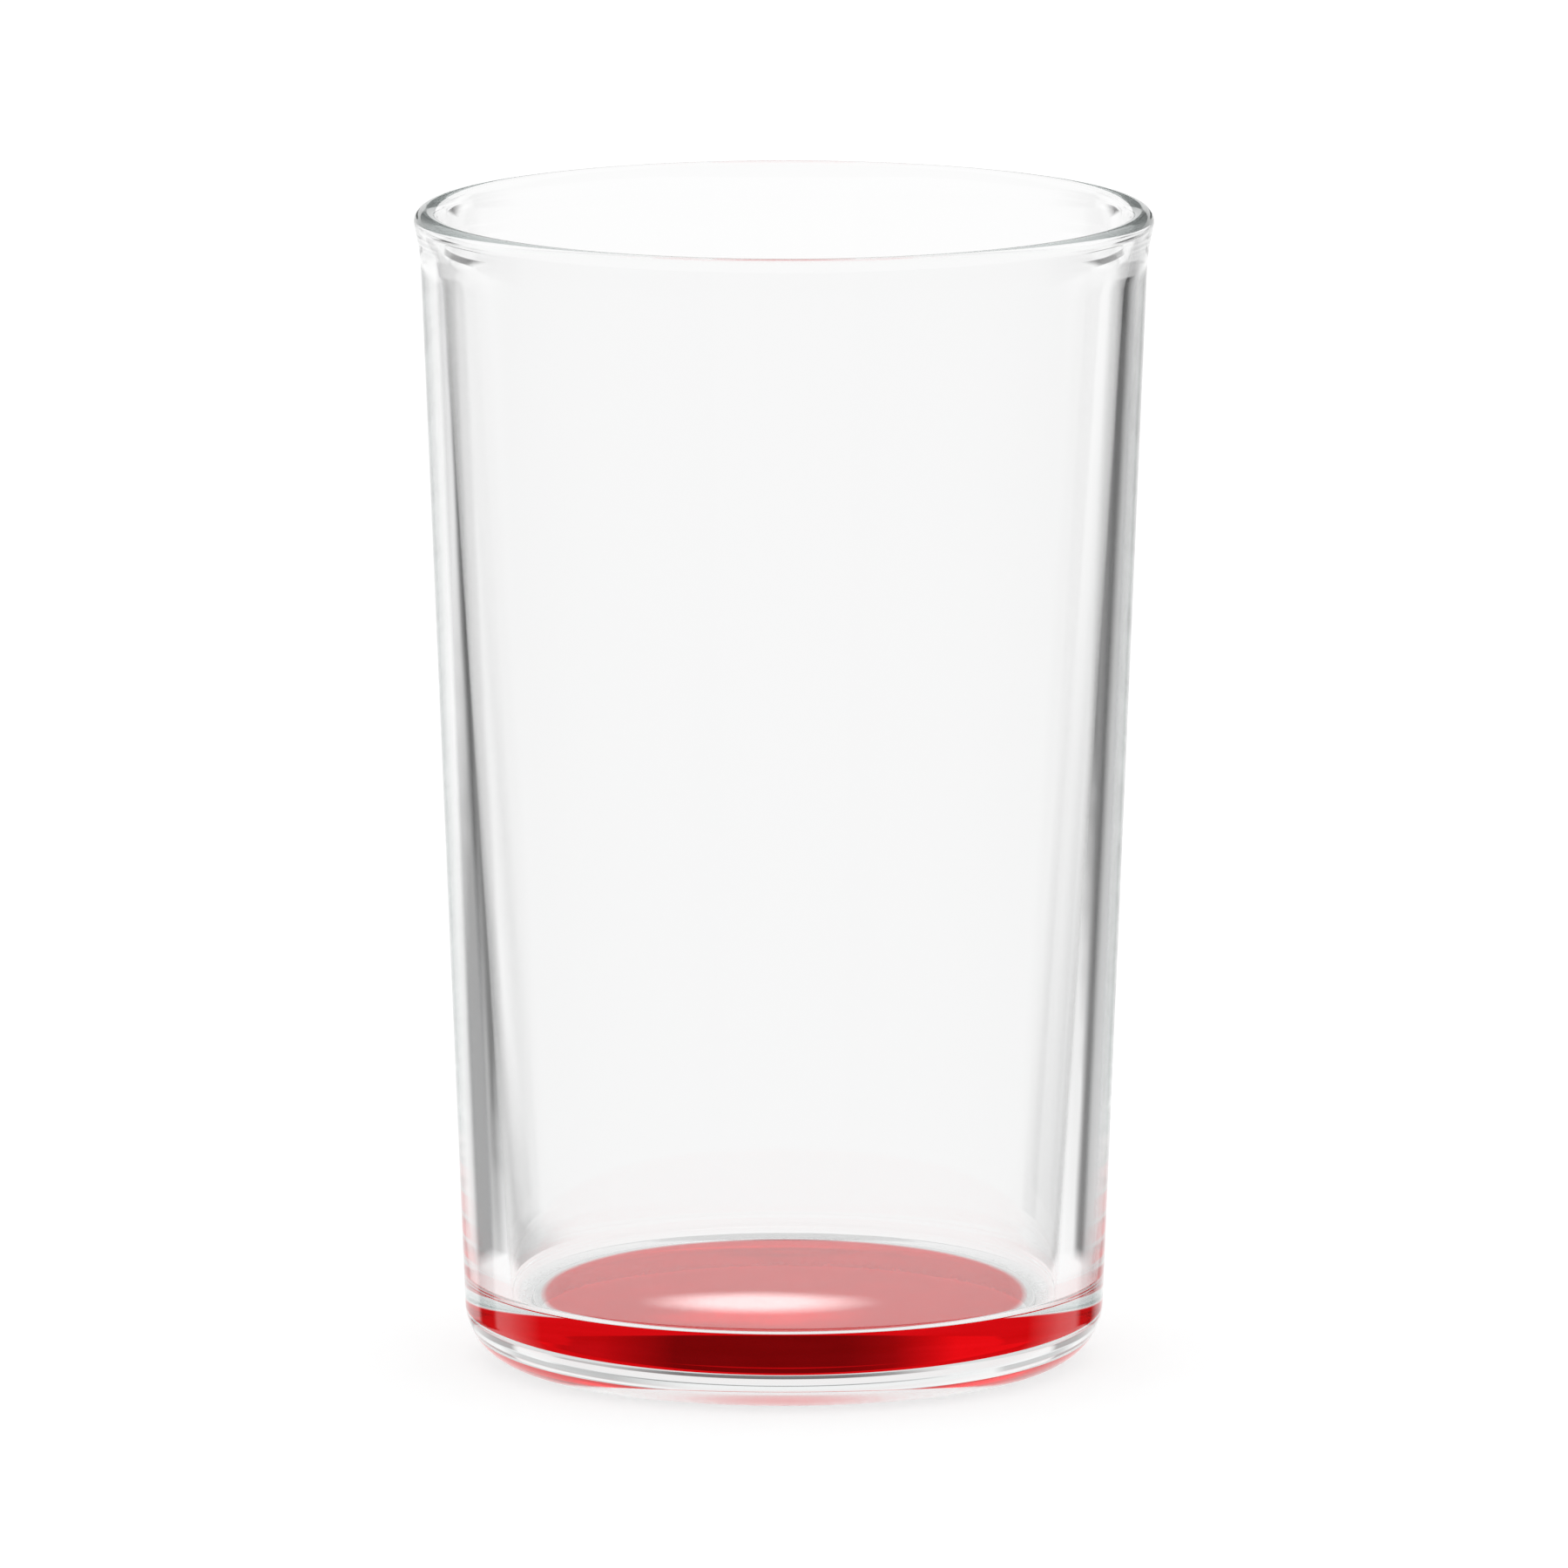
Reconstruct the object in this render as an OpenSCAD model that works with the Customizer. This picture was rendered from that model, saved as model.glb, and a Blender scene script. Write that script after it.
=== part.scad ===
// Sampler glass: a small heavy-based tumbler with a red colour coat under its base.
// Millimetres. +Z is up, and the origin is at the centre of the ring that the glass rests on.

/* [Overall] */
// Height of the glass, from the surface it rests on to the top of the rim
height = 89; // [80:0.5:98]
// Outside diameter at the rim, its widest place
rim_d = 56.5; // [53:0.1:60]
// Outside diameter of the foot, where the straight side carried down meets the surface
foot_d = 48.7; // [45:0.1:52]

/* [Wall] */
// Thickness of the wall at the rim
wall_top = 1.5; // [1.2:0.05:2.2]
// Thickness of the wall at the level of the drinking floor
wall_low = 3.4; // [2:0.05:4.5]
// How far the rounded rim stands out from the side
rim_lip = 0.35; // [0.15:0.05:0.7]
// Radius of the hollow curve that leads from the side into the rim
neck_r = 18; // [8:1:24]

/* [Base] */
// Height of the drinking floor
floor_h = 5.8; // [4.4:0.1:8]
// Radius of the inside corner between the wall and the drinking floor
corner_r = 0.7; // [0.4:0.1:4]
// Radius of the outside heel
heel_r = 4.4; // [2.5:0.1:5.2]
// Width of the flat ring that the glass rests on
ring_w = 0.4; // [0.3:0.05:2]
// Radius of the ring's inner edge
ring_edge_r = 0.2; // [0.1:0.05:0.8]
// Depth of the recess under the base
recess_depth = 2.3; // [0.8:0.1:3]
// Radius of the corner inside the recess
recess_corner_r = 0.2; // [0.1:0.05:0.6]

/* [Colour coat] */
// Thickness of the colour coat
coat_t = 0.15; // [0.08:0.01:0.4]
// Width of the strip at the coat's edge where it thins out
coat_feather = 0.3; // [0.1:0.05:0.8]
// Bare strip between the coat and the corner of the recess
coat_margin = 0.35; // [0.05:0.05:1]

/* [Hidden] */
$fn = 180;
glass_colour = [0.86, 0.92, 0.91, 0.35];
coat_colour = [0.72, 0.01, 0.02];
// How far a round corner bites into the leaning line or arc beside it, so that the two cross cleanly
bite = 0.002;
// How far a wedge reaches past the arc that it bounds, as a multiple of the arc's radius
wedge_reach = 2;
// How far past level the wedge of the heel or of the inside corner turns, to take in where its arc crosses the side
wedge_over = 20;

// Outer side: a straight line from the foot to the rim, without the rim's lip
side_top_r = rim_d / 2 - rim_lip;
side_lean = atan((side_top_r - foot_d / 2) / height);
side_up = [sin(side_lean), cos(side_lean)];
side_out = [cos(side_lean), -sin(side_lean)];
function side_r(z) = foot_d / 2 + z * tan(side_lean);

// Rim: a round bead as thick as the wall and its lip together
bead_r = (wall_top + rim_lip) / 2;
bead_c = [rim_d / 2 - bead_r, height - bead_r];
bead_top = bead_c + [0, bead_r];

// Inner side: the straight line from the edge of the floor that touches the bead
inner_foot = [side_r(floor_h) - wall_low, floor_h];
inner_run = bead_c - inner_foot;
inner_lean = atan(inner_run[0] / inner_run[1]) - asin((bead_r - bite) / norm(inner_run));
inner_out = [cos(inner_lean), -sin(inner_lean)];
bead_inner = bead_c - (bead_r - bite) * inner_out;
function inner_r(z) = inner_foot[0] + (z - floor_h) * tan(inner_lean);

// Neck: a hollow arc that touches the outer side and the bead
bead_off = (bead_c[0] - side_r(bead_c[1])) * cos(side_lean);
neck_drop = sqrt(pow(neck_r + bead_r - bite, 2) - pow(neck_r - bite - bead_off, 2));
neck_side = bead_c - bead_off * side_out - neck_drop * side_up;
neck_c = neck_side + (neck_r - bite) * side_out;
neck_start = neck_side - bead_r * side_up;
neck_bead = bead_c + (bead_r - bite) * (neck_c - bead_c) / norm(neck_c - bead_c);

// Heel: an arc that touches the resting plane and the outer side
heel_c = [side_r(heel_r) - heel_r / cos(side_lean) + bite, heel_r];
heel_ring = [heel_c[0], 0];
heel_side = heel_c + (heel_r - bite) * side_out;
heel_end = heel_c + heel_r * [cos(wedge_over), sin(wedge_over)];

// Inside corner: an arc that touches the drinking floor and the inner side
corner_c = [inner_r(floor_h + corner_r) - corner_r / cos(inner_lean) + bite, floor_h + corner_r];
corner_floor = [corner_c[0], floor_h];
corner_side = corner_c + (corner_r - bite) * inner_out;
corner_end = corner_c + corner_r * [cos(wedge_over), sin(wedge_over)];

// Recess: its two round corners are kept to half its depth
edge_r = min(ring_edge_r, recess_depth / 2);
nook_r = min(recess_corner_r, recess_depth / 2);
recess_r = heel_c[0] - ring_w - edge_r;
edge_c = [recess_r + edge_r, edge_r];
edge_wall = [recess_r, edge_r];
edge_ring = [recess_r + edge_r, 0];
nook_c = [recess_r - nook_r, recess_depth - nook_r];
nook_wall = [recess_r, recess_depth - nook_r];
nook_top = [recess_r - nook_r, recess_depth];

// Colour coat: covers the flat ceiling of the recess up to its bare strip
coat_r = recess_r - nook_r - coat_margin;

// Pie slice of a round corner, as far as the two points that bound it
module slice(centre, radius, from, to) {
    intersection() {
        translate(centre) circle(r = radius);
        polygon([centre, centre + wedge_reach * (from - centre), centre + wedge_reach * (to - centre)]);
    }
}

// Half section of the glass body: straight runs first, then the round corners added or taken away
module tumbler_section() {
    difference() {
        union() {
            polygon([
                [0, recess_depth],
                nook_top,
                nook_wall,
                edge_wall,
                edge_ring,
                heel_ring,
                heel_side,
                neck_side,
                neck_bead,
                bead_top,
                bead_inner,
                corner_side,
                corner_floor,
                [0, floor_h]
            ]);
            slice(edge_c, edge_r, edge_wall, edge_ring);
            slice(heel_c, heel_r, heel_ring, heel_end);
            translate(bead_c) circle(r = bead_r);
        }
        slice(nook_c, nook_r, nook_top, nook_wall);
        slice(neck_c, neck_r, neck_start, bead_top);
        slice(corner_c, corner_r, corner_end, corner_floor);
    }
}

// Clear one-piece glass body
module tumbler() {
    color(glass_colour)
        rotate_extrude()
            tumbler_section();
}

// Red coat on the ceiling of the recess
module base_coat() {
    color(coat_colour)
        translate([0, 0, recess_depth - coat_t])
            cylinder(h = coat_t, r1 = coat_r - coat_feather, r2 = coat_r);
}

tumbler();
base_coat();
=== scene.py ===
"""Sampler glass with a red base: its two pieces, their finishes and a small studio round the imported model."""
import math
from typing import NamedTuple

import bpy
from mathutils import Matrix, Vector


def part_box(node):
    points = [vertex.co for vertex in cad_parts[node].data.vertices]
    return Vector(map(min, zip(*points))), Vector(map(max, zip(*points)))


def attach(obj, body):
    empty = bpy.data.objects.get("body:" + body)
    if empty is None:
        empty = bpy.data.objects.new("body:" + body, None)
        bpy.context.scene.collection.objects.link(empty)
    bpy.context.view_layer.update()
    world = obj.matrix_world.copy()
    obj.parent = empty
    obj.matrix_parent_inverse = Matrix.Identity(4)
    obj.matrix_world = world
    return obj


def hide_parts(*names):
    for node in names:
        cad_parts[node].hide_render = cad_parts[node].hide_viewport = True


bl_info = {
    "name": "Sampler Glass",
    "version": (1, 0, 0),
    "blender": (4, 5, 0),
    "location": "3D View > Sidebar > Sampler Glass",
    "description": "Builds a small heavy-based drinking glass with a red coat under its base",
    "category": "Object",
}

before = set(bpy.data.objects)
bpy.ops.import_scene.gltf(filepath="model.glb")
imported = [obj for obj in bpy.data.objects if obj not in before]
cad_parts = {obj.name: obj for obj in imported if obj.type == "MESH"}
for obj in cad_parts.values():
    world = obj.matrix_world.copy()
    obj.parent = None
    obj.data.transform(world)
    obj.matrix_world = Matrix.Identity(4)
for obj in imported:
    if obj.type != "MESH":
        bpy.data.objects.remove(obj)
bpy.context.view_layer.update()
_, TUMBLER_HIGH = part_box("tumbler")
COAT_LOW, COAT_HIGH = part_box("base_coat")
MM = 0.001
# Millimetres
SENSOR_WIDTH = 36.0
# Light bounces inside the wall many times before it gets out
BOUNCES = 128


def length(name, description, default):
    """A property that holds a real size in metres."""
    return bpy.props.FloatProperty(
        name=name, description=description, default=default, min=0.0, precision=5, unit="LENGTH"
    )


def amount(name, description, default):
    """A property that holds a plain number, such as a brightness or an index."""
    return bpy.props.FloatProperty(name=name, description=description, default=default, min=0.0, precision=4)


def angle(name, description, degrees):
    """A property that holds an angle."""
    return bpy.props.FloatProperty(
        name=name, description=description, default=math.radians(degrees), subtype="ANGLE"
    )


def colour(name, description, default):
    """A property that holds a colour."""
    return bpy.props.FloatVectorProperty(
        name=name, description=description, default=default, size=3, min=0.0, max=1.0, subtype="COLOR"
    )


def count(name, description, default):
    """A property that holds a whole number."""
    return bpy.props.IntProperty(name=name, description=description, default=default, min=1)


class TumblerSettings(bpy.types.PropertyGroup):
    """Sizes and finish of the clear glass body."""

    height: length("Height", "From the table to the top of the rim", TUMBLER_HIGH.z)
    rim_radius: length("Rim radius", "Outside radius at the rim, its widest place", TUMBLER_HIGH.x)
    rim_lip: length("Rim lip", "How far the rounded rim stands out from the side", 0.35 * MM)
    foot_radius: length("Foot radius", "Where the straight side carried down meets the table", 24.35 * MM)
    wall_at_rim: length("Wall at rim", "Thickness of the wall at the rim", 1.5 * MM)
    wall_at_floor: length("Wall at floor", "Thickness of the wall at the drinking floor", 3.4 * MM)
    neck_round: length("Neck round", "Radius of the hollow curve that leads into the rim", 18 * MM)
    floor_height: length("Floor height", "Height of the drinking floor", 5.8 * MM)
    corner_round: length("Corner round", "Radius of the corner between the wall and the floor", 0.7 * MM)
    heel_round: length("Heel round", "Radius of the outside heel", 4.4 * MM)
    ring_width: length("Ring width", "Width of the flat ring that the glass rests on", 0.4 * MM)
    ring_edge_round: length("Ring edge round", "Radius of the ring's inner edge", 0.2 * MM)
    recess_depth: length("Recess depth", "Depth of the recess under the base", COAT_HIGH.z)
    recess_round: length("Recess round", "Radius of the corner inside the recess", 0.2 * MM)
    segments: count("Segments", "Faces round the glass", 288)
    corner_steps: count("Corner steps", "Points along each rounded corner", 20)
    glass_ior: amount("Index of refraction", "How strongly the glass bends light", 1.52)
    tint: colour("Tint", "Colour that a long path through the glass takes on", (0.84, 0.87, 0.865))
    tint_density: amount("Tint density", "How quickly the tint builds up, per metre", 10.0)
    wear_height: length("Wear height", "How far up the foot is rubbed matt by tables", 1.6 * MM)
    wave_height: length("Wave height", "Height of the soft waves that pressing leaves", 0.006 * MM)


class CoatSettings(bpy.types.PropertyGroup):
    """Sizes and finish of the red coat under the base."""

    radius: length("Radius", "Outside radius of the coat", COAT_HIGH.x)
    top: length("Top", "Height of the face that lies against the glass", COAT_HIGH.z)
    bottom: length("Bottom", "Height of the free face", COAT_LOW.z)
    feather: length("Feather", "Width of the strip at the edge where the coat thins out", 0.3 * MM)
    edge_round: length("Edge round", "Radius of the coat's edges", 0.03 * MM)
    thin_edge: length("Thin edge", "Width of the strip at the edge where the colour runs out", 0.6 * MM)
    bond: length("Bond", "How far the coat sinks into the glass, so that no air is left between", 0.02 * MM)
    segments: count("Segments", "Faces round the coat", 192)
    corner_steps: count("Corner steps", "Points along each rounded edge", 4)
    full_red: colour("Full red", "Colour where the sprayed coat is thick", (0.86, 0.002, 0.004))
    thin_red: colour("Thin red", "Colour where the sprayed coat is thin", (0.95, 0.004, 0.008))
    red_bounces: amount("Red bounces", "Bounces in the glass up to which light takes on the full red", 8.0)
    clear_bounces: amount("Clear bounces", "Bounces in the glass from which light takes on no red", 14.0)


class StageSettings(bpy.types.PropertyGroup):
    """Camera, floor and light."""

    camera_distance: length("Camera distance", "From the glass's axis to the camera, along the floor", 1.6)
    camera_height: length("Camera height", "Height of the camera above the floor", 0.3108)
    camera_tilt: angle("Camera tilt", "How far the camera looks down", 9.449)
    camera_lens: amount("Lens", "Focal length for a 36 mm sensor, in millimetres", 485.98)
    floor_size: length("Floor size", "Half the side of the square floor", 6.0)
    floor_colour: colour("Floor colour", "Colour of the floor", (0.80, 0.80, 0.80))
    room_level: amount("Room level", "Brightness of the soft light that fills the room", 0.62)
    floor_glow: amount("Floor glow", "White that the camera sees on the floor besides its lit colour", 0.58)
    ring_edge: angle("Ring edge", "Softness of the level edges of screens and cards", 0.8)
    front_level: amount("Front level", "Brightness that the outer face mirrors from the viewer's side", 0.55)
    tray_edge: angle("Tray edge", "Elevation up to which a dark tray lies on the viewer's side", -10.7)
    tray_blur: angle("Tray blur", "Softness of the edge of the dark tray", 0.2)
    card_level: amount("Card level", "Brightness of the card that the drinking floor mirrors", 0.8)
    glint_level: amount("Glint level", "Brightness of the lamp that glints on the drinking floor", 2.8)
    foot_shade_level: amount("Foot shade level", "Brightness of the floor that the glass itself shades", 0.72)


class SamplerGlassSettings(bpy.types.PropertyGroup):
    """Everything that can be set on the sampler glass and its stage."""

    tumbler: bpy.props.PointerProperty(type=TumblerSettings)
    coat: bpy.props.PointerProperty(type=CoatSettings)
    stage: bpy.props.PointerProperty(type=StageSettings)


class Corner(NamedTuple):
    """One corner of a turned piece's half section, with the radius that rounds it."""

    label: str
    radius: float
    height: float
    rounding: float = 0.0


def between(label, first, second, share):
    """A plain point on the straight run from one corner to another."""
    radius = first.radius + share * (second.radius - first.radius)
    height = first.height + share * (second.height - first.height)
    return Corner(label, radius, height)


def tumbler_corners(sizes):
    """Half section of the glass body, from the recess round the outside to the drinking floor."""
    side_slope = (sizes.rim_radius - sizes.rim_lip - sizes.foot_radius) / sizes.height
    side_lean = math.atan(side_slope)

    # The rim is a round bead as thick as the wall and its lip together
    bead = (sizes.wall_at_rim + sizes.rim_lip) / 2
    bead_radius = sizes.rim_radius - bead
    bead_height = sizes.height - bead

    # The inner side is the straight line from the edge of the floor that touches the bead
    floor_edge = sizes.foot_radius + sizes.floor_height * side_slope - sizes.wall_at_floor
    run_out = bead_radius - floor_edge
    run_up = bead_height - sizes.floor_height
    inner_lean = math.atan2(run_out, run_up) - math.asin(bead / math.hypot(run_out, run_up))
    rim_inside = floor_edge + (sizes.height - sizes.floor_height) * math.tan(inner_lean)

    # The neck is a hollow arc that touches the outer side and the bead
    bead_offset = (bead_radius - sizes.foot_radius - bead_height * side_slope) * math.cos(side_lean)
    rim_lean = side_lean + math.acos((sizes.neck_round - bead_offset) / (sizes.neck_round + bead))
    rim_outside = bead_radius + bead * math.tan(math.pi / 4 + rim_lean / 2)
    rim_slope = math.tan(rim_lean)
    neck_height = (sizes.foot_radius - rim_outside + sizes.height * rim_slope) / (rim_slope - side_slope)
    neck_radius = sizes.foot_radius + neck_height * side_slope

    # The recess is what the heel and the resting ring leave
    ring_outside = sizes.foot_radius - sizes.heel_round * math.tan(math.pi / 4 - side_lean / 2)
    recess_radius = ring_outside - sizes.ring_width - sizes.ring_edge_round

    ceiling_middle = Corner("Ceiling middle", 0.0, sizes.recess_depth)
    recess = Corner("Recess corner", recess_radius, sizes.recess_depth, sizes.recess_round)
    ring_edge = Corner("Ring edge", recess_radius, 0.0, sizes.ring_edge_round)
    heel = Corner("Heel", sizes.foot_radius, 0.0, sizes.heel_round)
    neck = Corner("Neck", neck_radius, neck_height, sizes.neck_round)
    rim_out = Corner("Rim outside", rim_outside, sizes.height, bead)
    rim_in = Corner("Rim inside", rim_inside, sizes.height, bead)
    floor_corner = Corner("Floor corner", floor_edge, sizes.floor_height, sizes.corner_round)
    floor_middle = Corner("Floor middle", 0.0, sizes.floor_height)
    return [
        ceiling_middle,
        between("Outer ceiling", ceiling_middle, recess, share=0.96),
        recess,
        ring_edge,
        heel,
        between("Lower side", heel, neck, share=0.07),
        between("Middle side", heel, neck, share=0.5),
        between("Upper side", heel, neck, share=0.93),
        neck,
        rim_out,
        rim_in,
        between("Upper inside", rim_in, floor_corner, share=0.03),
        between("Middle inside", rim_in, floor_corner, share=0.5),
        between("Lower inside", rim_in, floor_corner, share=0.95),
        floor_corner,
        between("Outer floor", floor_corner, floor_middle, share=0.14),
        floor_middle,
    ]


def coat_corners(sizes):
    """Half section of the coat, from the middle of its free face round its edge to the face on the glass."""
    top = sizes.top + sizes.bond
    free_middle = Corner("Free face middle", 0.0, sizes.bottom)
    free_edge = Corner("Free face edge", sizes.radius - sizes.feather, sizes.bottom, sizes.edge_round)
    bond_edge = Corner("Bond edge", sizes.radius, top, sizes.edge_round)
    bond_middle = Corner("Bond middle", 0.0, top)
    return [
        free_middle,
        between("Outer free face", free_middle, free_edge, share=0.97),
        free_edge,
        bond_edge,
        between("Outer bond", bond_edge, bond_middle, share=0.03),
        bond_middle,
    ]


def feed(tree, socket, value):
    """Gives a socket a link or a plain value."""
    if isinstance(value, bpy.types.NodeSocket):
        tree.links.new(value, socket)
    else:
        socket.default_value = value


def add_node(tree, kind, inputs=None, **settings):
    """Adds one node, with its settings and what feeds its inputs."""
    node = tree.nodes.new(kind)
    for name, value in settings.items():
        setattr(node, name, value)
    for name, value in (inputs or {}).items():
        feed(tree, node.inputs[name], value)
    return node


def calculate(tree, operation, first, second=0.0):
    """Adds a Math node and returns its result."""
    return add_node(tree, "ShaderNodeMath", {0: first, 1: second}, operation=operation).outputs[0]


def turning_tree(name, corners):
    """Geometry Nodes that round a half section's corners and turn it once round the Z axis."""
    tree = bpy.data.node_groups.new(name, "GeometryNodeTree")
    sockets = tree.interface
    for corner in corners:
        sockets.new_socket(f"{corner.label} place", in_out="INPUT", socket_type="NodeSocketVector")
        sockets.new_socket(f"{corner.label} rounding", in_out="INPUT", socket_type="NodeSocketFloat")
    sockets.new_socket("Turning radius", in_out="INPUT", socket_type="NodeSocketFloat")
    sockets.new_socket("Corner steps", in_out="INPUT", socket_type="NodeSocketInt")
    sockets.new_socket("Segments", in_out="INPUT", socket_type="NodeSocketInt")
    sockets.new_socket("Weld distance", in_out="INPUT", socket_type="NodeSocketFloat")
    sockets.new_socket("Material", in_out="INPUT", socket_type="NodeSocketMaterial")
    sockets.new_socket("Geometry", in_out="OUTPUT", socket_type="NodeSocketGeometry")
    given = tree.nodes.new("NodeGroupInput").outputs

    # Half section: a line with one point for each corner, then the rounding
    index = add_node(tree, "GeometryNodeInputIndex").outputs[0]
    places = add_node(tree, "GeometryNodeIndexSwitch", data_type="VECTOR")
    roundings = add_node(tree, "GeometryNodeIndexSwitch", data_type="FLOAT")
    for chooser, kind in ((places, "place"), (roundings, "rounding")):
        while len(chooser.index_switch_items) < len(corners):
            chooser.index_switch_items.new()
        feed(tree, chooser.inputs["Index"], index)
        for number, corner in enumerate(corners):
            feed(tree, chooser.inputs[str(number)], given[f"{corner.label} {kind}"])
    line = add_node(tree, "GeometryNodeMeshLine", {"Count": len(corners)})
    bent = add_node(
        tree,
        "GeometryNodeSetPosition",
        {"Geometry": line.outputs[0], "Position": places.outputs[0]},
    )
    curve = add_node(tree, "GeometryNodeMeshToCurve", {"Mesh": bent.outputs[0]})
    section = add_node(
        tree,
        "GeometryNodeFilletCurve",
        {
            "Curve": curve.outputs[0],
            "Count": given["Corner steps"],
            "Radius": roundings.outputs[0],
            "Limit Radius": False,
        },
        mode="POLY",
    )

    # Turning: the section goes once round a circle, and its ends are welded on the axis
    circle = add_node(
        tree,
        "GeometryNodeCurvePrimitiveCircle",
        {"Resolution": given["Segments"], "Radius": given["Turning radius"]},
        mode="RADIUS",
    )
    turned = add_node(
        tree,
        "GeometryNodeCurveToMesh",
        {"Curve": circle.outputs[0], "Profile Curve": section.outputs[0], "Fill Caps": False},
    )
    welded = add_node(
        tree,
        "GeometryNodeMergeByDistance",
        {"Geometry": turned.outputs[0], "Distance": given["Weld distance"]},
    )
    outward = add_node(tree, "GeometryNodeFlipFaces", {"Mesh": welded.outputs[0]})
    smooth = add_node(
        tree,
        "GeometryNodeSetShadeSmooth",
        {"Geometry": outward.outputs[0], "Shade Smooth": True},
    )
    real = add_node(tree, "GeometryNodeRealizeInstances", {"Geometry": smooth.outputs[0]})
    finished = add_node(
        tree,
        "GeometryNodeSetMaterial",
        {"Geometry": real.outputs[0], "Material": given["Material"]},
    )
    result = tree.nodes.new("NodeGroupOutput")
    tree.links.new(finished.outputs[0], result.inputs["Geometry"])
    return tree


def turned_piece(name, corners, turning_radius, settings, material):
    """Makes a piece that is turned from its corners, as a plain mesh."""
    piece = bpy.data.objects.new(name, bpy.data.meshes.new(name))
    bpy.context.scene.collection.objects.link(piece)
    modifier = piece.modifiers.new("Turning", "NODES")
    modifier.node_group = turning_tree(f"{name} turning", corners)
    sizes = {
        "Turning radius": turning_radius,
        "Corner steps": settings.corner_steps,
        "Segments": settings.segments,
        "Weld distance": 0.001 * MM,
        "Material": material,
    }
    for corner in corners:
        # On the circle a section's X points away from the axis and its Y points down
        sizes[f"{corner.label} place"] = (corner.radius - turning_radius, -corner.height, 0.0)
        sizes[f"{corner.label} rounding"] = corner.rounding
    for socket in modifier.node_group.interface.items_tree:
        if socket.in_out == "INPUT":
            modifier[socket.identifier] = sizes[socket.name]
    depsgraph = bpy.context.evaluated_depsgraph_get()
    mesh = bpy.data.meshes.new_from_object(piece.evaluated_get(depsgraph), depsgraph=depsgraph)
    piece.modifiers.remove(modifier)
    piece.data = mesh
    mesh.name = name
    return piece


def mottle_group():
    """Shader group: a soft cloudy value that changes over the surface."""
    name = "Soft mottle"
    if name in bpy.data.node_groups:
        return bpy.data.node_groups[name]
    tree = bpy.data.node_groups.new(name, "ShaderNodeTree")
    for label in ("Scale", "Low", "High"):
        tree.interface.new_socket(label, in_out="INPUT", socket_type="NodeSocketFloat")
    tree.interface.new_socket("Value", in_out="OUTPUT", socket_type="NodeSocketFloat")
    given = tree.nodes.new("NodeGroupInput").outputs
    place = add_node(tree, "ShaderNodeTexCoord").outputs["Object"]
    noise = add_node(
        tree,
        "ShaderNodeTexNoise",
        {"Vector": place, "Scale": given["Scale"], "Detail": 3.0, "Roughness": 0.5},
    )
    spread = add_node(
        tree,
        "ShaderNodeMapRange",
        {
            "Value": noise.outputs[0],
            "From Min": 0.3,
            "From Max": 0.7,
            "To Min": given["Low"],
            "To Max": given["High"],
        },
    )
    result = tree.nodes.new("NodeGroupOutput")
    tree.links.new(spread.outputs[0], result.inputs["Value"])
    return tree


def mottle(tree, scale, low, high):
    """Places the mottle group in a material and returns its value."""
    node = add_node(tree, "ShaderNodeGroup", node_tree=mottle_group())
    node.inputs["Scale"].default_value = scale
    node.inputs["Low"].default_value = low
    node.inputs["High"].default_value = high
    return node.outputs["Value"]


def opaque(rgb):
    """A colour property as the four numbers that a colour socket takes."""
    return (*rgb, 1.0)


def clear_glass(settings):
    """Clear pressed glass: soft waves, faint handling marks and a tint that builds up with depth."""
    material = bpy.data.materials.new("clear_glass")
    material.use_nodes = True
    tree = material.node_tree
    surface = tree.nodes["Principled BSDF"]
    surface.inputs["Base Color"].default_value = (1.0, 1.0, 1.0, 1.0)
    surface.inputs["IOR"].default_value = settings.glass_ior
    surface.inputs["Transmission Weight"].default_value = 1.0
    marks = mottle(tree, scale=180.0, low=0.0, high=0.02)
    place = add_node(tree, "ShaderNodeTexCoord").outputs["Object"]
    height = add_node(tree, "ShaderNodeSeparateXYZ", {0: place}).outputs["Z"]
    rubbed = add_node(
        tree,
        "ShaderNodeMapRange",
        {
            "Value": height,
            "From Min": 0.0,
            "From Max": settings.wear_height,
            "To Min": mottle(tree, scale=1500.0, low=0.2, high=0.35),
            "To Max": 0.0,
        },
    ).outputs[0]
    feed(tree, surface.inputs["Roughness"], calculate(tree, "MAXIMUM", marks, rubbed))
    waves = add_node(
        tree,
        "ShaderNodeBump",
        {
            "Height": mottle(tree, scale=40.0, low=0.0, high=1.0),
            "Distance": settings.wave_height,
            "Strength": 1.0,
        },
    )
    feed(tree, surface.inputs["Normal"], waves.outputs["Normal"])
    depth = add_node(
        tree,
        "ShaderNodeVolumeAbsorption",
        {"Color": opaque(settings.tint), "Density": settings.tint_density},
    )
    tree.links.new(depth.outputs[0], tree.nodes["Material Output"].inputs["Volume"])
    return material


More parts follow.
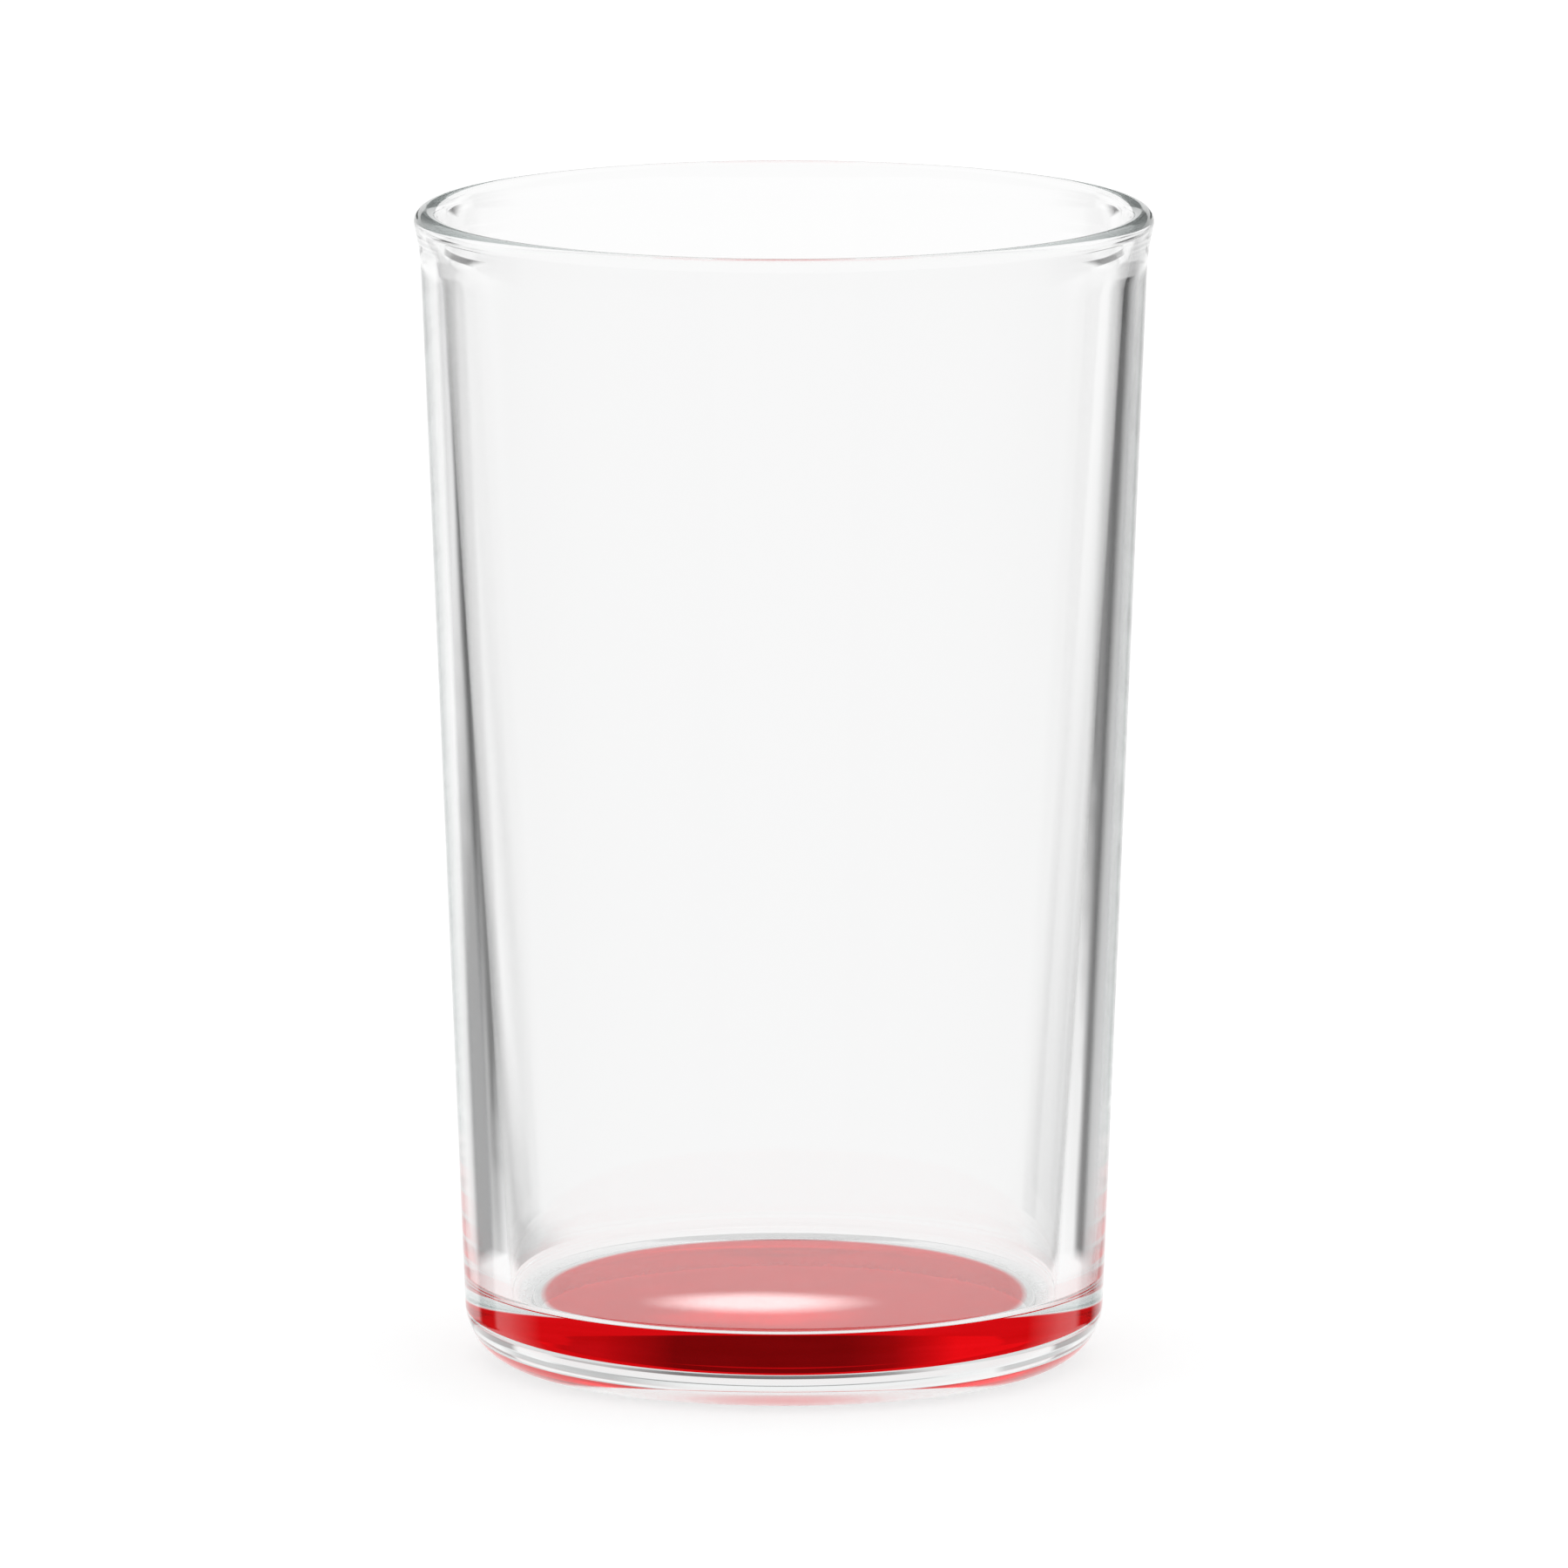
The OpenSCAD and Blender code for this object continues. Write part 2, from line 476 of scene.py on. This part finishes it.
def red_coat(settings):
    """See-through red lacquer, sprayed a little unevenly on the underside of the glass."""
    material = bpy.data.materials.new("red_coat")
    material.use_nodes = True
    tree = material.node_tree
    surface = tree.nodes["Principled BSDF"]
    spray = add_node(tree, "ShaderNodeValToRGB", {"Fac": mottle(tree, scale=260.0, low=0.0, high=1.0)})
    spray.color_ramp.elements[0].color = opaque(settings.full_red)
    spray.color_ramp.elements[1].color = opaque(settings.thin_red)
    place = add_node(tree, "ShaderNodeTexCoord").outputs["Object"]
    flat = add_node(tree, "ShaderNodeVectorMath", {0: place, 1: (1.0, 1.0, 0.0)}, operation="MULTIPLY")
    reach = add_node(tree, "ShaderNodeVectorMath", {0: flat.outputs[0]}, operation="LENGTH").outputs["Value"]
    thin = add_node(
        tree,
        "ShaderNodeMapRange",
        {"Value": reach, "From Min": settings.radius - settings.thin_edge, "From Max": settings.radius},
    ).outputs[0]
    # Light that has wandered far through the glass takes on no red, so that the wall stays clear
    bounces = add_node(tree, "ShaderNodeLightPath").outputs["Ray Depth"]
    wandered = add_node(
        tree,
        "ShaderNodeMapRange",
        {"Value": bounces, "From Min": settings.red_bounces, "From Max": settings.clear_bounces},
    ).outputs[0]
    clear = calculate(tree, "MAXIMUM", thin, wandered)
    colour_here = add_node(
        tree,
        "ShaderNodeMixRGB",
        {"Fac": clear, "Color1": spray.outputs["Color"], "Color2": (1.0, 1.0, 1.0, 1.0)},
    ).outputs[0]
    feed(tree, surface.inputs["Base Color"], colour_here)
    feed(tree, surface.inputs["Roughness"], mottle(tree, scale=900.0, low=0.02, high=0.10))
    surface.inputs["IOR"].default_value = 1.0
    surface.inputs["Transmission Weight"].default_value = 1.0
    return material


class Ring(NamedTuple):
    """What the glass sees above one elevation: brightness at compass angles, all in degrees."""

    lowest: float
    stops: tuple


WHITE, FILL, ROOM, SOFT, DIM, LOW, DARK = 1.0, 0.9, 0.85, 0.6, 0.35, 0.2, 0.03

# Most rings have white screens behind the glass, darker cards beside them and the room on the viewer's side
RINGS = (
    Ring(
        -90.0,
        ((-180, ROOM), (-80, ROOM), (-60, WHITE), (60, WHITE), (80, ROOM), (180, ROOM)),
    ),
    Ring(
        -15.4,
        (
            (-180, ROOM), (-54, ROOM), (-50, DARK), (-42, DARK), (-38, DIM), (-22, DIM), (-8, WHITE),
            (12, WHITE), (24, SOFT), (29, DARK), (33, DARK), (38, ROOM), (180, ROOM),
        ),
    ),
    Ring(
        -14.4,
        (
            (-180, ROOM), (-52, ROOM), (-49, DARK), (-38, DARK), (-34, DIM), (-22, DIM), (-8, WHITE),
            (12, WHITE), (24, SOFT), (31, DARK), (43, DARK), (48, ROOM), (180, ROOM),
        ),
    ),
    Ring(
        -13.5,
        (
            (-180, ROOM), (-52, ROOM), (-49, DARK), (-37, DARK), (-33, WHITE),
            (12, WHITE), (24, SOFT), (31, DARK), (43, DARK), (48, ROOM), (180, ROOM),
        ),
    ),
    Ring(
        -9.0,
        (
            (-180, ROOM), (-80, ROOM), (-58, WHITE), (-51, SOFT), (-34, SOFT), (-31, WHITE),
            (12, WHITE), (24, SOFT), (46, SOFT), (54, WHITE), (80, ROOM), (180, ROOM),
        ),
    ),
    Ring(
        -2.0,
        (
            (-180, ROOM), (-80, ROOM), (-60, DIM), (-49, DIM), (-47, WHITE),
            (47, WHITE), (49, DIM), (58, DIM), (80, ROOM), (180, ROOM),
        ),
    ),
    Ring(
        7.8,
        (
            (-180, ROOM), (-80, ROOM), (-60, DIM), (-49, DIM), (-47, WHITE), (-24, WHITE), (-14, DIM),
            (-8, LOW), (14, LOW), (18, DIM), (26, SOFT), (34, SOFT), (38, WHITE), (47, WHITE), (49, DIM),
            (58, DIM), (80, ROOM), (180, ROOM),
        ),
    ),
    Ring(18.0, ((-180, FILL), (180, FILL))),
)

# Where the outer face of the glass mirrors the viewer's side of the room, and not the screens and cards
FRONT = ((-180, 1.0), (-80, 1.0), (-60, 0.0), (60, 0.0), (80, 1.0), (180, 1.0))


def level_by_compass(tree, compass, stops):
    """Adds a brightness that changes with the compass angle."""
    ramp = add_node(tree, "ShaderNodeValToRGB", {"Fac": compass})
    elements = ramp.color_ramp.elements
    while len(elements) < len(stops):
        elements.new(1.0)
    for element, (bearing, level) in zip(elements, stops):
        element.position = (bearing + 180.0) / 360.0
        element.color = (level, level, level, 1.0)
    return ramp.outputs["Color"]


def share_above(tree, rise, edge, blur):
    """Adds a value that goes from 0 below an elevation to 1 above it; rise is the elevation's sine."""
    return add_node(
        tree,
        "ShaderNodeMapRange",
        {"Value": rise, "From Min": math.sin(edge - blur / 2), "From Max": math.sin(edge + blur / 2)},
    ).outputs[0]


def studio_world(settings):
    """White to the camera, soft light on the floor, and rings of screens and cards for the glass to show."""
    world = bpy.data.worlds.new("Studio")
    world.use_nodes = True
    world.cycles.sampling_method = "NONE"
    tree = world.node_tree
    direction = add_node(tree, "ShaderNodeTexCoord").outputs["Generated"]
    parts = add_node(tree, "ShaderNodeSeparateXYZ", {0: direction}).outputs
    bearing = calculate(tree, "ARCTAN2", parts["X"], parts["Y"])
    compass = add_node(
        tree,
        "ShaderNodeMapRange",
        {"Value": bearing, "From Min": -math.pi, "From Max": math.pi},
    ).outputs[0]
    in_glass = level_by_compass(tree, compass, RINGS[0].stops)
    for ring in RINGS[1:]:
        above = share_above(tree, parts["Z"], math.radians(ring.lowest), settings.ring_edge)
        level = level_by_compass(tree, compass, ring.stops)
        in_glass = add_node(
            tree, "ShaderNodeMixRGB", {"Fac": above, "Color1": in_glass, "Color2": level}
        ).outputs[0]
    path = add_node(tree, "ShaderNodeLightPath").outputs
    above_tray = share_above(tree, parts["Z"], settings.tray_edge, settings.tray_blur)
    front = add_node(
        tree,
        "ShaderNodeMixRGB",
        {"Fac": above_tray, "Color1": (DARK, DARK, DARK, 1.0), "Color2": opaque((settings.front_level,) * 3)},
    ).outputs[0]
    mirrored = calculate(tree, "SUBTRACT", path["Is Glossy Ray"], path["Is Transmission Ray"])
    in_front = calculate(tree, "MULTIPLY", mirrored, level_by_compass(tree, compass, FRONT))
    in_glass = add_node(
        tree, "ShaderNodeMixRGB", {"Fac": in_front, "Color1": in_glass, "Color2": front}
    ).outputs[0]
    lit = (settings.room_level,) * 3
    lighting = add_node(
        tree,
        "ShaderNodeMixRGB",
        {"Fac": path["Is Diffuse Ray"], "Color1": in_glass, "Color2": opaque(lit)},
    )
    seen = add_node(
        tree,
        "ShaderNodeMixRGB",
        {"Fac": path["Is Camera Ray"], "Color1": lighting.outputs[0], "Color2": (1.0, 1.0, 1.0, 1.0)},
    )
    feed(tree, tree.nodes["Background"].inputs["Color"], seen.outputs[0])
    bpy.context.scene.world = world


def floor_material(settings):
    """Pale matt floor, brought up to white for the camera."""
    material = bpy.data.materials.new("pale_floor")
    material.use_nodes = True
    tree = material.node_tree
    surface = tree.nodes["Principled BSDF"]
    surface.inputs["Base Color"].default_value = opaque(settings.floor_colour)
    surface.inputs["Roughness"].default_value = 1.0
    surface.inputs["Specular IOR Level"].default_value = 0.0
    surface.inputs["Emission Color"].default_value = (1.0, 1.0, 1.0, 1.0)
    path = add_node(tree, "ShaderNodeLightPath").outputs
    glow = calculate(tree, "MULTIPLY", path["Is Camera Ray"], settings.floor_glow)
    feed(tree, surface.inputs["Emission Strength"], glow)
    return material


def card_material(name, level, full, is_round, from_below):
    """Card of one brightness that fades out towards its edges, as the glass shows it."""
    material = bpy.data.materials.new(name)
    material.use_nodes = True
    tree = material.node_tree
    tree.nodes.remove(tree.nodes["Principled BSDF"])
    place = add_node(tree, "ShaderNodeTexCoord").outputs["Object"]
    if is_round:
        reach = add_node(tree, "ShaderNodeVectorMath", {0: place}, operation="LENGTH").outputs["Value"]
    else:
        sides = add_node(tree, "ShaderNodeSeparateXYZ", {0: place}).outputs
        across = calculate(tree, "ABSOLUTE", sides["X"])
        along = calculate(tree, "ABSOLUTE", sides["Y"])
        reach = calculate(tree, "MAXIMUM", across, along)
    fade = add_node(
        tree,
        "ShaderNodeMapRange",
        {"Value": reach, "From Min": full, "From Max": 1.0, "To Min": 1.0, "To Max": 0.0},
        interpolation_type="SMOOTHSTEP",
    ).outputs[0]
    if from_below:
        backfacing = add_node(tree, "ShaderNodeNewGeometry").outputs["Backfacing"]
        fade = calculate(tree, "MULTIPLY", fade, backfacing)
    clear = add_node(tree, "ShaderNodeBsdfTransparent")
    glow = add_node(tree, "ShaderNodeEmission", {"Strength": level})
    mix = add_node(tree, "ShaderNodeMixShader", {0: fade, 1: clear.outputs[0], 2: glow.outputs[0]})
    tree.links.new(mix.outputs[0], tree.nodes["Material Output"].inputs["Surface"])
    return material


def flat_piece(name, corners, material):
    """A flat stage piece from its corners."""
    mesh = bpy.data.meshes.new(name)
    mesh.from_pydata(corners, [], [range(len(corners))])
    mesh.materials.append(material)
    piece = bpy.data.objects.new(name, mesh)
    bpy.context.scene.collection.objects.link(piece)
    return piece


def make_floor(settings):
    """Floor under the glass; the glass itself looks through it to the screens and cards."""
    size = settings.floor_size
    corners = [(-size, -size, 0.0), (size, -size, 0.0), (size, size, 0.0), (-size, size, 0.0)]
    floor = flat_piece("floor", corners, floor_material(settings))
    floor.visible_glossy = False
    floor.visible_transmission = False


class Card(NamedTuple):
    """A card near the glass, in millimetres and degrees; it is full up to a share of its half sides."""

    name: str
    centre: tuple
    half_sides: tuple
    full: float
    upright: bool = False
    roll: float = 0.0
    is_round: bool = False
    from_below: bool = False


# The drinking floor mirrors the white card and the glint lamp, which only rays on their way up can see
WHITE_CARD = Card("white_card", centre=(0, 52, 17), half_sides=(60, 27), full=0.96, from_below=True)
GLINT_LAMP = Card(
    "glint_lamp", centre=(-2.5, 42.5, 16), half_sides=(13, 6.5), full=0.25, is_round=True, from_below=True
)
FOOT_SHADE = Card("foot_shade", centre=(0, 0, -0.05), half_sides=(20, 20), full=0.95, is_round=True)
RIM_CARDS = tuple(
    Card(
        "rim_card", centre=(side * 86, 300, 93), half_sides=(32, 10), full=0.6, upright=True, roll=-side * 27
    )
    for side in (-1, 1)
)


def make_card(card, level):
    """Makes a card that only the glass sees."""
    corners = [(-1.0, -1.0, 0.0), (1.0, -1.0, 0.0), (1.0, 1.0, 0.0), (-1.0, 1.0, 0.0)]
    material = card_material(card.name, level, card.full, card.is_round, card.from_below)
    piece = flat_piece(card.name, corners, material)
    piece.location = [place * MM for place in card.centre]
    piece.scale = (*[half * MM for half in card.half_sides], 1.0)
    if card.upright:
        piece.rotation_euler = (math.pi / 2, math.radians(card.roll), 0.0)
    piece.visible_camera = False
    piece.visible_diffuse = False
    piece.visible_shadow = False


def make_cards(settings):
    """The card and lamp that the drinking floor mirrors, the dark cards at the rim and the shaded foot."""
    make_card(WHITE_CARD, settings.card_level)
    make_card(GLINT_LAMP, settings.glint_level)
    for card in RIM_CARDS:
        make_card(card, DARK)
    make_card(FOOT_SHADE, settings.foot_shade_level)


def make_camera(settings):
    """Camera where the photograph was taken from."""
    lens = bpy.data.cameras.new("camera")
    lens.sensor_width = SENSOR_WIDTH
    lens.lens = settings.camera_lens
    camera = bpy.data.objects.new("camera", lens)
    camera.location = (0.0, -settings.camera_distance, settings.camera_height)
    camera.rotation_euler = (math.pi / 2 - settings.camera_tilt, 0.0, 0.0)
    bpy.context.scene.collection.objects.link(camera)
    bpy.context.scene.camera = camera


def set_light_paths():
    """Plain colours, and enough bounces for light to find its way through the wall and the thick base."""
    scene = bpy.context.scene
    scene.view_settings.view_transform = "Standard"
    scene.cycles.max_bounces = BOUNCES
    scene.cycles.transmission_bounces = BOUNCES
    scene.cycles.glossy_bounces = BOUNCES
    scene.cycles.transparent_max_bounces = 16


class SAMPLER_OT_make_tumbler(bpy.types.Operator):
    """Make the clear glass body"""

    bl_idname = "sampler_glass.make_tumbler"
    bl_label = "Make Tumbler"

    def execute(self, context):
        settings = context.scene.sampler_glass.tumbler
        corners = tumbler_corners(settings)
        piece = turned_piece("tumbler_glass", corners, settings.foot_radius, settings, clear_glass(settings))
        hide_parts("tumbler")
        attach(piece, "root")
        return {"FINISHED"}


class SAMPLER_OT_make_base_coat(bpy.types.Operator):
    """Make the red coat under the base"""

    bl_idname = "sampler_glass.make_base_coat"
    bl_label = "Make Base Coat"

    def execute(self, context):
        settings = context.scene.sampler_glass.coat
        corners = coat_corners(settings)
        piece = turned_piece("red_base_coat", corners, settings.radius, settings, red_coat(settings))
        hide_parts("base_coat")
        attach(piece, "root")
        return {"FINISHED"}


class SAMPLER_OT_make_stage(bpy.types.Operator):
    """Make the floor, the light and the camera"""

    bl_idname = "sampler_glass.make_stage"
    bl_label = "Make Stage"

    def execute(self, context):
        settings = context.scene.sampler_glass.stage
        make_floor(settings)
        make_cards(settings)
        studio_world(settings)
        make_camera(settings)
        set_light_paths()
        return {"FINISHED"}


class SAMPLER_PT_sampler_glass(bpy.types.Panel):
    """Sidebar panel with the sampler glass's steps and settings"""

    bl_label = "Sampler Glass"
    bl_space_type = "VIEW_3D"
    bl_region_type = "UI"
    bl_category = "Sampler Glass"

    def draw(self, context):
        settings = context.scene.sampler_glass
        steps = (
            (SAMPLER_OT_make_tumbler, settings.tumbler),
            (SAMPLER_OT_make_base_coat, settings.coat),
            (SAMPLER_OT_make_stage, settings.stage),
        )
        for operator, group in steps:
            column = self.layout.column(align=True)
            column.operator(operator.bl_idname)
            for name in group.__annotations__:
                column.prop(group, name)


CLASSES = (
    TumblerSettings,
    CoatSettings,
    StageSettings,
    SamplerGlassSettings,
    SAMPLER_OT_make_tumbler,
    SAMPLER_OT_make_base_coat,
    SAMPLER_OT_make_stage,
    SAMPLER_PT_sampler_glass,
)


def register():
    for each in CLASSES:
        bpy.utils.register_class(each)
    bpy.types.Scene.sampler_glass = bpy.props.PointerProperty(type=SamplerGlassSettings)


def unregister():
    del bpy.types.Scene.sampler_glass
    for each in reversed(CLASSES):
        bpy.utils.unregister_class(each)


def main():
    register()
    bpy.ops.sampler_glass.make_tumbler()
    bpy.ops.sampler_glass.make_base_coat()
    bpy.ops.sampler_glass.make_stage()


if __name__ == "__main__":
    main()
